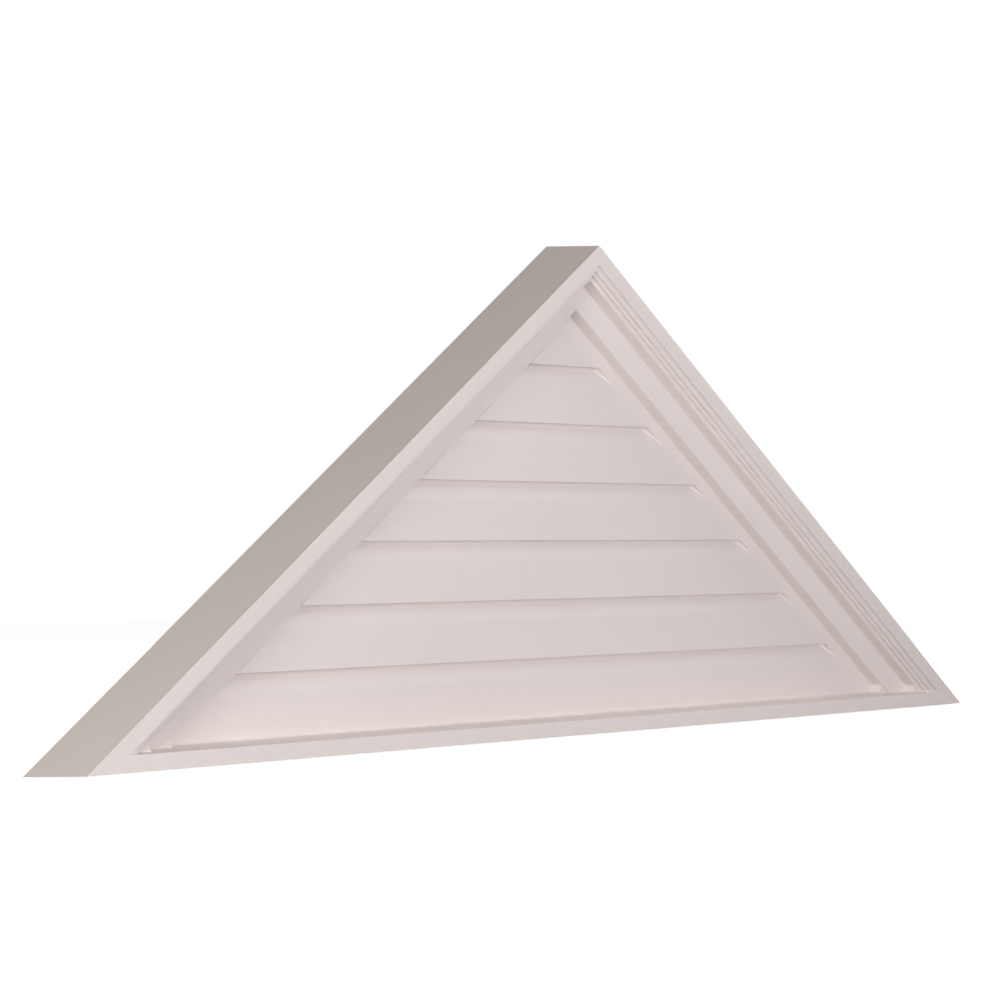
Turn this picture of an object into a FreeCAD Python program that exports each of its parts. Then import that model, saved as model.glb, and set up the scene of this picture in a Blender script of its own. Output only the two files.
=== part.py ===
import FreeCAD, Part
import math
import os

# Decorative triangular gable vent, moulded in one piece with closed louvres.
# Millimetres. X runs along the width, the front faces -Y, +Z is up.
# The origin is the middle of the back's bottom edge, on the wall plane.
# A depth is measured backwards from the front face, an inset inwards from the back's rakes.

# Overall size on the wall
WIDTH = 1219.2
ROOF_RISE = 8.0
ROOF_RUN = 12.0
PROJECTION = 54.0
SIDE_DRAFT = 2.25

# Flat border of the front face
RAKE_BORDER = 13.3
BASE_BORDER = 12.2

# Stepped moulding along both rakes, from the border inwards
FIRST_DROP = 3.0
FIRST_TREAD = 4.4
SECOND_DROP = 3.1
SECOND_TREAD = 2.2
THIRD_DROP = 3.2
THIRD_TREAD = 3.6
OUTER_WALL_DROP = 10.9
WIDE_TREAD = 19.6
WIDE_TREAD_FALL = 3.0
INNER_WALL_DROP = 12.1
STRIP_WIDTH = 10.5
WALL_DRAFT = 2.0
LEDGE_DRAFT = 2.0

# Rounds along the moulding's edges and feet
STEP_NOSE = 0.5
STEP_FOOT = 0.5
WALL_NOSE = 1.5
WALL_FOOT = 1.2
LEDGE_FOOT = 3.0

# Filling of the sharp corners between the moulding's walls and the ledge:
# its round for each millimetre of the wall's drop, and the crease where it meets both
CORNER_ROUND_RATIO = 0.41
CORNER_CREASE = 12.0

# Louvre slats
FIRST_SLAT = 50.1
SLAT_PITCH = 48.3
SLAT_BEVEL_HEIGHT = 16.0
SLAT_BEVEL_DEPTH = 7.5
SLAT_SHOULDER_HEIGHT = 8.4
SLAT_SHOULDER_DEPTH = 2.5
SLAT_SHOULDER_ROUND = 15.0
SLAT_UNDERSIDE_RISE = 0.4
SLAT_NOSE_PROUD = 0.9
SLAT_NOSE_HEIGHT = 28.0
SLAT_ROOT_ROUND = 2.0
SLAT_NOSE_ROUND = 0.5
SLAT_END_ROUND = 1.5
TOP_SLAT_LEAST = 20.0

# How far a cutting tool starts in front of what it cuts
CLEAR = 2.0

RAKE_ANGLE = math.atan2(ROOF_RISE, ROOF_RUN)
HEIGHT = WIDTH / 2 * math.tan(RAKE_ANGLE)
FRONT_INSET = PROJECTION * math.tan(math.radians(SIDE_DRAFT))
LEDGE_START = FRONT_INSET + BASE_BORDER
WALL_LEAN = math.tan(math.radians(WALL_DRAFT))
LEDGE_LEAN = math.tan(math.radians(LEDGE_DRAFT))


def point(x, depth, z):
    """A point at a depth behind the front face."""
    return FreeCAD.Vector(x, depth - PROJECTION, z)


def apex_height(inset):
    """Height where the two rakes of an inset outline meet."""
    return HEIGHT - inset / math.cos(RAKE_ANGLE)


def outline(inset, base, depth):
    """Triangle with its rakes inset and its base at a height."""
    apex = apex_height(inset)
    half = (apex - base) / math.tan(RAKE_ANGLE)
    left = point(-half, depth, base)
    return Part.makePolygon([left, point(half, depth, base), point(0, depth, apex), left])


def rounded_face(corners):
    """Face inside a closed outline of (vector, round) corners."""
    starts = []
    ends = []
    arcs = []
    count = len(corners)
    for i in range(count):
        here, radius = corners[i]
        before = (corners[i - 1][0] - here).normalize()
        after = (corners[(i + 1) % count][0] - here).normalize()
        if radius == 0:
            starts.append(here)
            ends.append(here)
            arcs.append(None)
            continue
        half_angle = before.getAngle(after) / 2
        reach = radius / math.tan(half_angle)
        centre = here + (before + after).normalize() * (radius / math.sin(half_angle))
        middle = centre + (here - centre).normalize() * radius
        starts.append(here + before * reach)
        ends.append(here + after * reach)
        arcs.append(Part.Arc(starts[i], middle, ends[i]).toShape())
    edges = []
    for i in range(count):
        if arcs[i]:
            edges.append(arcs[i])
        edges.append(Part.makeLine(ends[i], starts[(i + 1) % count]))
    return Part.Face(Part.Wire(edges))


def moulding_steps():
    """Corners of the rake moulding as (inset, depth, round), from the border to the slats' plane."""
    inset = FRONT_INSET + RAKE_BORDER
    depth = 0.0
    corners = [(inset - CLEAR * WALL_LEAN, -CLEAR, 0)]
    steps = [
        (FIRST_DROP, STEP_FOOT, FIRST_TREAD, 0, STEP_NOSE),
        (SECOND_DROP, STEP_FOOT, SECOND_TREAD, 0, STEP_NOSE),
        (THIRD_DROP, STEP_FOOT, THIRD_TREAD, 0, STEP_NOSE),
        (OUTER_WALL_DROP, WALL_FOOT, WIDE_TREAD, WIDE_TREAD_FALL, WALL_NOSE),
    ]
    for drop, foot, tread, fall, nose in steps:
        corners.append((inset + drop * WALL_LEAN, depth + drop, foot))
        inset += tread
        depth += drop + fall
        corners.append((inset, depth, nose))
    depth += INNER_WALL_DROP
    inset += INNER_WALL_DROP * WALL_LEAN
    corners.append((inset, depth, WALL_FOOT))
    return corners


def rake_prism(corners):
    """Space inside the right rake's moulding, run far past both ends of the rake."""
    along = FreeCAD.Vector(-math.cos(RAKE_ANGLE), 0, math.sin(RAKE_ANGLE))
    inward = FreeCAD.Vector(-math.sin(RAKE_ANGLE), 0, -math.cos(RAKE_ANGLE))
    far = WIDTH
    floor = corners[-1][1]
    closing = [(far, floor, 0), (far, -CLEAR, 0)]
    start = FreeCAD.Vector(WIDTH / 2, -PROJECTION, 0) - along * WIDTH
    section = []
    for inset, depth, radius in corners + closing:
        section.append((start + inward * inset + FreeCAD.Vector(0, depth, 0), radius))
    return rounded_face(section).extrude(along * (3 * WIDTH))


def bar(profile):
    """Bar along X from a closed outline of (depth, height, round) corners."""
    return rounded_face([(point(-WIDTH, d, z), r) for d, z, r in profile]).extrude(
        FreeCAD.Vector(2 * WIDTH, 0, 0)
    )


def recess(corners):
    """Space in front of the slats' plane: between the two rakes and above the base ledge."""
    right = rake_prism(corners)
    left = right.mirror(FreeCAD.Vector(0, 0, 0), FreeCAD.Vector(1, 0, 0))
    near = -2 * CLEAR
    floor = corners[-1][1]
    above = bar([
        (near, LEDGE_START + near * LEDGE_LEAN, 0),
        (floor, LEDGE_START + floor * LEDGE_LEAN, LEDGE_FOOT),
        (floor, HEIGHT, 0),
        (near, HEIGHT, 0),
    ])
    return right.common(left).common(above)


def corner_section(inset, depth, radius):
    """Section of a corner's filling at the ledge's right end, closed inside the solid."""
    base = LEDGE_START + depth * LEDGE_LEAN
    along = FreeCAD.Vector(-math.cos(RAKE_ANGLE), 0, math.sin(RAKE_ANGLE))
    outward = FreeCAD.Vector(math.sin(RAKE_ANGLE), 0, math.cos(RAKE_ANGLE)) * CLEAR
    down = FreeCAD.Vector(0, 0, -CLEAR)
    corner = point((apex_height(inset) - base) / math.tan(RAKE_ANGLE), depth, base)
    reach = radius / math.tan(RAKE_ANGLE / 2)
    on_wall = corner + along * reach
    on_ledge = corner - FreeCAD.Vector(reach, 0, 0)
    middle = (on_wall + on_ledge) / 2
    turn = (math.pi - RAKE_ANGLE) / 2 - math.radians(CORNER_CREASE)
    hollow = (corner - middle).normalize() * ((on_wall - middle).Length * math.tan(turn / 2))
    edges = [Part.Arc(on_ledge, middle + hollow, on_wall).toShape()]
    sunk = [on_wall, on_wall + outward, corner + outward + down, on_ledge + down, on_ledge]
    edges += [Part.makeLine(sunk[i], sunk[i + 1]) for i in range(len(sunk) - 1)]
    return Part.Wire(edges)


def corner_fillings(nose, foot):
    """Fillings of both corners between the ledge and a wall, from below its nose to behind its foot."""
    inset, depth, nose_round = nose
    top = max(depth, 0)
    radius = (foot[1] - top) * CORNER_ROUND_RATIO
    sections = []
    for level in (top + max(nose_round, STEP_NOSE), foot[1] + CLEAR):
        sections.append(corner_section(inset + (level - depth) * WALL_LEAN, level, radius))
    right = Part.makeLoft(sections, True, True)
    return [right, right.mirror(FreeCAD.Vector(0, 0, 0), FreeCAD.Vector(1, 0, 0))]


def slat_joints(field_inset):
    """Heights at which one slat's lower edge overhangs the slat below it."""
    first = LEDGE_START + FIRST_SLAT
    room = apex_height(field_inset) - TOP_SLAT_LEAST - first
    count = int(room // SLAT_PITCH) + 1
    return [first + SLAT_PITCH * i for i in range(count)]


def field(field_inset, near, far):
    """Drafted triangular prism that bounds the slats' ends."""
    deeper = field_inset + (far - near) * WALL_LEAN
    return Part.makeLoft([outline(field_inset, 0, near), outline(deeper, 0, far)], True, True)


def slat_nose(joint, floor):
    """Thin wedge by which a slat's lower edge stands proud of the strip."""
    lip = joint + SLAT_UNDERSIDE_RISE * SLAT_NOSE_PROUD / SLAT_BEVEL_DEPTH
    return bar([
        (floor + CLEAR, joint, 0),
        (floor, joint, 0),
        (floor - SLAT_NOSE_PROUD, lip, SLAT_NOSE_ROUND),
        (floor, joint + SLAT_NOSE_HEIGHT, 0),
        (floor + CLEAR, joint + SLAT_NOSE_HEIGHT, 0),
    ])


def slat_notch(joint, floor):
    """Space behind a slat's lower edge, above the round-shouldered bevel of the slat below."""
    foot_z = joint - SLAT_BEVEL_HEIGHT
    lean = SLAT_SHOULDER_DEPTH / SLAT_SHOULDER_HEIGHT
    underside = SLAT_UNDERSIDE_RISE / SLAT_BEVEL_DEPTH
    return bar([
        (floor - CLEAR, foot_z - CLEAR / lean, 0),
        (floor + SLAT_SHOULDER_DEPTH, foot_z + SLAT_SHOULDER_HEIGHT, SLAT_SHOULDER_ROUND),
        (floor + SLAT_BEVEL_DEPTH, joint - SLAT_UNDERSIDE_RISE, SLAT_ROOT_ROUND),
        (floor - CLEAR, joint + CLEAR * underside, 0),
    ])


def round_ends(notch):
    """Notch with rounds where its bevel, root and underside meet its two end walls."""
    front = notch.BoundBox.YMin
    edges = []
    for face in notch.Faces:
        if abs(face.normalAt(0, 0).x) > math.sin(RAKE_ANGLE) / 2:
            edges += [edge for edge in face.Edges if edge.BoundBox.YMax > front + CLEAR]
    return notch.makeFillet(SLAT_END_ROUND, edges)


def gable_vent():
    """The moulded vent: a drafted body with the moulding and the slats cut into it."""
    back = outline(0, 0, PROJECTION)
    front = outline(FRONT_INSET, FRONT_INSET, 0)
    body = Part.makeLoft([back, front], True, True)
    corners = moulding_steps()
    floor = corners[-1][1]
    field_inset = corners[-1][0] + STRIP_WIDTH
    slats = field(field_inset, floor - CLEAR, floor + SLAT_BEVEL_DEPTH + CLEAR)
    body = body.cut(recess(corners))
    for nose, foot in zip(corners[0::2], corners[1::2]):
        for filling in corner_fillings(nose, foot):
            body = body.fuse(filling)
    for joint in slat_joints(field_inset):
        body = body.fuse(slat_nose(joint, floor).common(slats))
        body = body.cut(round_ends(slat_notch(joint, floor).common(slats)))
    return body.removeSplitter()


os.makedirs("parts", exist_ok=True)
vent = gable_vent()
print("solids", len(vent.Solids), "valid", vent.isValid(), "faces", len(vent.Faces), "volume", vent.Volume)
print("box", vent.BoundBox)
vent.exportStep("parts/gable_vent.step")
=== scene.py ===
import math
import bpy
from mathutils import Matrix, Vector

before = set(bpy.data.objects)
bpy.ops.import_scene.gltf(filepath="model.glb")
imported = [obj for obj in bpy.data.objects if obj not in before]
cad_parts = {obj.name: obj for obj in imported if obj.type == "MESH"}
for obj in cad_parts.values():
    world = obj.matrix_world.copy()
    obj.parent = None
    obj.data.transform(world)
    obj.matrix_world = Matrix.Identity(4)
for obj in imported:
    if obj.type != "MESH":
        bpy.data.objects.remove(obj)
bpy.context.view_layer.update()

# Looks of a moulded, factory-primed gable vent. Metres, in the part's own frame.

# Camera, fitted to the photograph's corners and louvre lines (1000 x 1000 pixels)
FOCAL_PIXELS = 3288.2
IMAGE_PIXELS = 1000.0
SENSOR_MM = 36.0
CAMERA_PLACE = Vector((-2.2111, -1.6197, 0.1601))
CAMERA_YAW = math.radians(52.949)
CAMERA_PITCH = math.radians(0.729)
CAMERA_ROLL = math.radians(-0.205)

# Primer: linear colour of its darker and lighter clouds, roughness of its smoother and rougher spots
PRIMER_DARK = (0.796, 0.728, 0.720)
PRIMER_LIGHT = (0.820, 0.752, 0.746)
ROUGH_LEAST = 0.50
ROUGH_MOST = 0.62
SPECULAR_LEVEL = 0.35

# Unevenness of the primer: repeats per metre, relief in metres, and the noise's usual range
CLOUD_SCALE = 9.0
MOTTLE_SCALE = 85.0
PEEL_SCALE = 230.0
PEEL_RELIEF = 0.00003
GRAIN_SCALE = 1400.0
GRAIN_RELIEF = 0.000005
NOISE_DETAIL = 3.0
NOISE_LOW = 0.3
NOISE_HIGH = 0.7

# Lamps, all aimed at one point near the vent's middle: name, place, width, watts, colour
AIM = Vector((0.0, -0.03, 0.16))
WHITE = (1.0, 1.0, 1.0)
IVORY = (1.0, 0.985, 0.94)
PALE = (1.0, 0.95, 0.86)
WARM = (1.0, 0.77, 0.28)
LAMPS = [
    ("left_front", (-1.79, -2.17, 0.4), 0.8, 11.3, WHITE),
    ("left_near", (-1.7, -0.6, 0.25), 0.4, 10.3, IVORY),
    ("front_low", (0.05, -1.6, 0.15), 0.4, 7.6, WHITE),
    ("front_high", (-0.4, -2.2, 1.7), 0.8, 11.0, WHITE),
    ("top", (0.7, -0.5, 1.3), 0.5, 3.6, PALE),
    ("left_rear", (-0.9, 0.5, 1.2), 0.6, 1.05, WARM),
    ("right", (2.0, 0.4, 1.0), 0.6, 7.0, WHITE),
    ("back", (0.9, 2.4, 0.4), 0.8, 32.0, WHITE),
]

# Floor: its width, how white it is to the eye, and its own colour under the lamps
FLOOR_SIZE = 6.0
FLOOR_GLOW = 0.97
FLOOR_COLOUR = (0.55, 0.55, 0.55)


def principled(name):
    """New node material, with its tree and its Principled shader."""
    material = bpy.data.materials.new(name)
    material.use_nodes = True
    return material, material.node_tree, material.node_tree.nodes["Principled BSDF"]


def noise(tree, scale):
    """Noise through the part's own coordinates."""
    coordinates = tree.nodes.new("ShaderNodeTexCoord")
    texture = tree.nodes.new("ShaderNodeTexNoise")
    texture.inputs["Scale"].default_value = scale
    texture.inputs["Detail"].default_value = NOISE_DETAIL
    tree.links.new(coordinates.outputs["Object"], texture.inputs["Vector"])
    return texture.outputs["Fac"]


def spread(tree, value, low, high):
    """The noise's usual range stretched to a new one, and held inside it."""
    stretch = tree.nodes.new("ShaderNodeMapRange")
    stretch.inputs["From Min"].default_value = NOISE_LOW
    stretch.inputs["From Max"].default_value = NOISE_HIGH
    stretch.inputs["To Min"].default_value = low
    stretch.inputs["To Max"].default_value = high
    tree.links.new(value, stretch.inputs["Value"])
    return stretch.outputs["Result"]


def average(tree, first, second):
    """Middle of two values."""
    middle = tree.nodes.new("ShaderNodeMix")
    middle.inputs["Factor"].default_value = 0.5
    tree.links.new(first, middle.inputs["A"])
    tree.links.new(second, middle.inputs["B"])
    return middle.outputs["Result"]


def relief(tree, height, depth):
    """Bump node of a real depth."""
    bump = tree.nodes.new("ShaderNodeBump")
    bump.inputs["Distance"].default_value = depth
    tree.links.new(height, bump.inputs["Height"])
    return bump


def primer_material():
    """Matte off-white primer on moulded foam: faint clouds, orange peel and fine grain."""
    material, tree, shader = principled("primed_foam")
    mottle = noise(tree, MOTTLE_SCALE)
    tone = spread(tree, average(tree, noise(tree, CLOUD_SCALE), mottle), 0.0, 1.0)
    ramp = tree.nodes.new("ShaderNodeValToRGB")
    ramp.color_ramp.elements[0].color = (*PRIMER_DARK, 1.0)
    ramp.color_ramp.elements[1].color = (*PRIMER_LIGHT, 1.0)
    tree.links.new(tone, ramp.inputs["Fac"])
    tree.links.new(ramp.outputs["Color"], shader.inputs["Base Color"])
    tree.links.new(spread(tree, mottle, ROUGH_LEAST, ROUGH_MOST), shader.inputs["Roughness"])
    shader.inputs["Specular IOR Level"].default_value = SPECULAR_LEVEL
    grain = relief(tree, noise(tree, GRAIN_SCALE), GRAIN_RELIEF)
    peel = relief(tree, noise(tree, PEEL_SCALE), PEEL_RELIEF)
    tree.links.new(grain.outputs["Normal"], peel.inputs["Normal"])
    tree.links.new(peel.outputs["Normal"], shader.inputs["Normal"])
    return material


def larger(tree, first, second):
    """Larger of two values."""
    choice = tree.nodes.new("ShaderNodeMath")
    choice.operation = "MAXIMUM"
    tree.links.new(first, choice.inputs[0])
    tree.links.new(second, choice.inputs[1])
    return choice.outputs[0]


def seen_directly(tree):
    """1 for camera, glossy and transmission rays, 0 for the rays that carry light."""
    rays = tree.nodes.new("ShaderNodeLightPath").outputs
    seen = larger(tree, rays["Is Camera Ray"], rays["Is Glossy Ray"])
    return larger(tree, seen, rays["Is Transmission Ray"])


def floor_material():
    """Floor that looks white and keeps a very faint shadow of the vent."""
    material, tree, shader = principled("floor_white")
    shader.inputs["Base Color"].default_value = (*FLOOR_COLOUR, 1.0)
    shader.inputs["Roughness"].default_value = 1.0
    shader.inputs["Specular IOR Level"].default_value = 0.0
    shader.inputs["Emission Color"].default_value = (1.0, 1.0, 1.0, 1.0)
    glow = tree.nodes.new("ShaderNodeMath")
    glow.operation = "MULTIPLY"
    glow.inputs[1].default_value = FLOOR_GLOW
    tree.links.new(seen_directly(tree), glow.inputs[0])
    tree.links.new(glow.outputs[0], shader.inputs["Emission Strength"])
    return material


def add_floor():
    """Large plane under the vent's lowest edge."""
    half = FLOOR_SIZE / 2
    mesh = bpy.data.meshes.new("floor")
    corners = [(-half, -half, 0.0), (half, -half, 0.0), (half, half, 0.0), (-half, half, 0.0)]
    mesh.from_pydata(corners, [], [(0, 1, 2, 3)])
    floor = bpy.data.objects.new("floor", mesh)
    bpy.context.scene.collection.objects.link(floor)
    mesh.materials.append(floor_material())


def add_world():
    """White to the eye, and no light of its own."""
    world = bpy.data.worlds.new("studio")
    world.use_nodes = True
    bpy.context.scene.world = world
    tree = world.node_tree
    background = tree.nodes["Background"]
    background.inputs["Color"].default_value = (1.0, 1.0, 1.0, 1.0)
    tree.links.new(seen_directly(tree), background.inputs["Strength"])


def add_lamps():
    """Soft square lamps around the vent."""
    for name, place, width, watts, colour in LAMPS:
        light = bpy.data.lights.new(name, "AREA")
        light.shape = "SQUARE"
        light.size = width
        light.energy = watts
        light.color = colour
        lamp = bpy.data.objects.new(name, light)
        lamp.location = place
        lamp.rotation_euler = (AIM - Vector(place)).to_track_quat("-Z", "Y").to_euler()
        bpy.context.scene.collection.objects.link(lamp)


def add_camera():
    """Camera at the photograph's place, slightly below the vent's middle."""
    forward = Vector((
        math.sin(CAMERA_YAW) * math.cos(CAMERA_PITCH),
        math.cos(CAMERA_YAW) * math.cos(CAMERA_PITCH),
        math.sin(CAMERA_PITCH),
    ))
    level = Vector((math.cos(CAMERA_YAW), -math.sin(CAMERA_YAW), 0.0))
    upright = level.cross(forward)
    right = level * math.cos(CAMERA_ROLL) + upright * math.sin(CAMERA_ROLL)
    up = upright * math.cos(CAMERA_ROLL) - level * math.sin(CAMERA_ROLL)
    turn = Matrix((right, up, -forward)).transposed().to_4x4()
    data = bpy.data.cameras.new("camera")
    data.sensor_fit = "HORIZONTAL"
    data.sensor_width = SENSOR_MM
    data.lens = FOCAL_PIXELS / IMAGE_PIXELS * SENSOR_MM
    camera = bpy.data.objects.new("camera", data)
    camera.matrix_world = Matrix.Translation(CAMERA_PLACE) @ turn
    bpy.context.scene.collection.objects.link(camera)
    bpy.context.scene.camera = camera


def dress_vent():
    """Primer on the moulded solid."""
    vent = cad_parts["gable_vent"]
    vent.data.materials.clear()
    vent.data.materials.append(primer_material())


dress_vent()
add_floor()
add_world()
add_lamps()
add_camera()
bpy.context.scene.view_settings.view_transform = "Standard"
